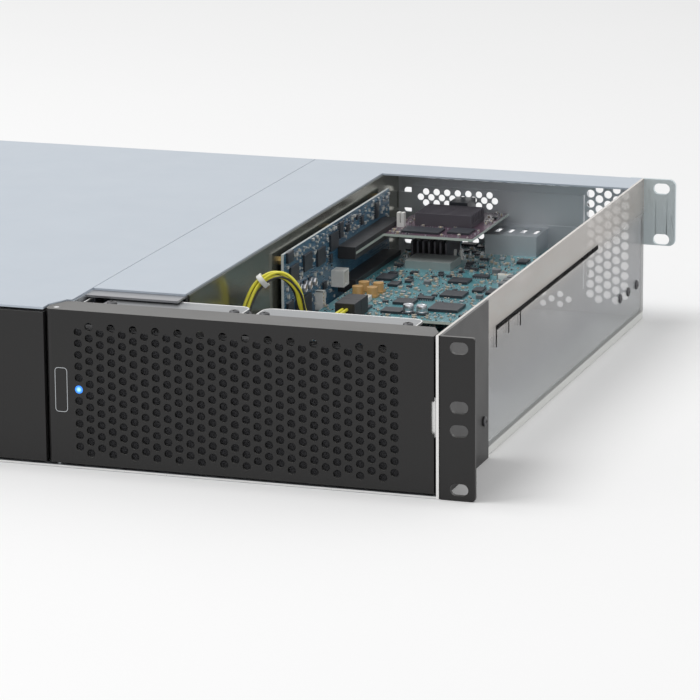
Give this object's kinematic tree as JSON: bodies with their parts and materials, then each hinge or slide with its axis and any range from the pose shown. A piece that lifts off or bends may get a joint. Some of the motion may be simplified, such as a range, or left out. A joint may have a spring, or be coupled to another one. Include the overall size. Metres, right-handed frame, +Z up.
{
  "type": "pcie expansion chassis",
  "caption": "Rack-mount expansion chassis with a hinged perforated door, fans behind it, and an open bay where expansion cards lie flat on a side riser board.",
  "frame": {"origin": "middle of the base, on the plane it rests on, halfway between the front face and the end of the rear bracket ledge", "axes": "+X to the right seen from the front, -Y out of the front face, +Z up"},
  "size_m": [0.4826, 0.4376, 0.0881],
  "materials": {
    "plated_steel": "satin, fine zinc grain",
    "pale_paint": "smooth pale blue-grey paint",
    "see_through_wall": "drawn see-through, bright cut edges",
    "black_paint": "fine-textured charcoal powder coat",
    "grey_steel": "satin",
    "black_plastic": "matt",
    "filter_foam": "open-cell foam",
    "bright_steel": "bright",
    "brass_fittings": "satin",
    "blue_light": "clear, lit from behind",
    "blue_board": "glossy solder mask",
    "teal_board": "glossy solder mask",
    "dark_board": "glossy solder mask",
    "chip_plastic": "matt moulded",
    "copper_core": "wound core, varnished",
    "aluminium_fins": "anodised",
    "white_plastic": "satin",
    "yellow_wire": "smooth insulation",
    "black_sleeve": "braided sleeve"
  },
  "bodies": {
    "chassis": {"base_pan": "plated_steel", "left_side_panel": "plated_steel", "right_side_panel": "see_through_wall", "rear_panel": "plated_steel", "left_top_cover": "pale_paint", "bay_top_plate": "pale_paint", "centre_divider": "black_paint", "device_bay_wall": "plated_steel", "cover_support": "plated_steel", "front_post_left": "plated_steel", "front_post_right": "plated_steel", "front_ear_left": "black_paint", "front_ear_right": "black_paint", "rear_ear_left": "grey_steel", "rear_ear_right": "grey_steel", "blank_panel": "black_paint", "status_lamp": "blue_light", "fan_bracket_left": "plated_steel", "fan_bracket_right": "plated_steel", "fan_frame_left": "black_plastic", "fan_frame_right": "black_plastic", "riser_board": "blue_board", "board_standoffs": "brass_fittings", "slot_connectors": "black_plastic", "riser_header": "white_plastic", "riser_chips": "chip_plastic", "card_rail": "black_plastic", "long_card_board": "teal_board", "long_card_bracket": "plated_steel", "long_card_chips": "chip_plastic", "long_card_chokes": "copper_core", "long_card_heatsink": "aluminium_fins", "long_card_ports": "plated_steel", "long_card_power_socket": "black_plastic", "short_card_board": "dark_board", "short_card_bracket": "plated_steel", "short_card_chips": "chip_plastic", "short_card_header": "white_plastic", "short_card_heatsink": "aluminium_fins", "slot_cover": "plated_steel", "psu_case": "plated_steel", "psu_inlet": "black_plastic", "psu_fan_frame": "black_plastic", "psu_fan_guard": "plated_steel", "host_board": "blue_board", "host_ports": "plated_steel", "power_harness": "black_sleeve", "power_leads": "yellow_wire", "power_plug": "black_plastic", "lead_tie": "white_plastic", "screws": "bright_steel"},
    "door": {"front_door": "black_paint", "door_filter": "filter_foam", "filter_frame": "black_plastic", "door_hinge_pins": "bright_steel", "door_magnet": "bright_steel", "light_pipe": "blue_light"},
    "fan_left": {"fan_rotor_left": "black_plastic"},
    "fan_right": {"fan_rotor_right": "black_plastic"},
    "psu_fan": {"psu_fan_rotor": "black_plastic"}
  },
  "joints": [
    {"name": "door_hinge", "type": "hinge", "parent": "chassis", "child": "door", "pos_m": [0.0055, -0.2139, 0.04405], "axis": [0, 0, -1], "range_deg": [0, 95]},
    {"name": "fan_left_spin", "type": "hinge", "parent": "chassis", "child": "fan_left", "pos_m": [0.0622, -0.1843, 0.043], "axis": [0, 1, 0], "continuous": true},
    {"name": "fan_right_spin", "type": "hinge", "parent": "chassis", "child": "fan_right", "pos_m": [0.1548, -0.1843, 0.043], "axis": [0, 1, 0], "continuous": true},
    {"name": "psu_fan_spin", "type": "hinge", "parent": "chassis", "child": "psu_fan", "pos_m": [0.0336, 0.195, 0.0224], "axis": [0, 1, 0], "continuous": true}
  ]
}
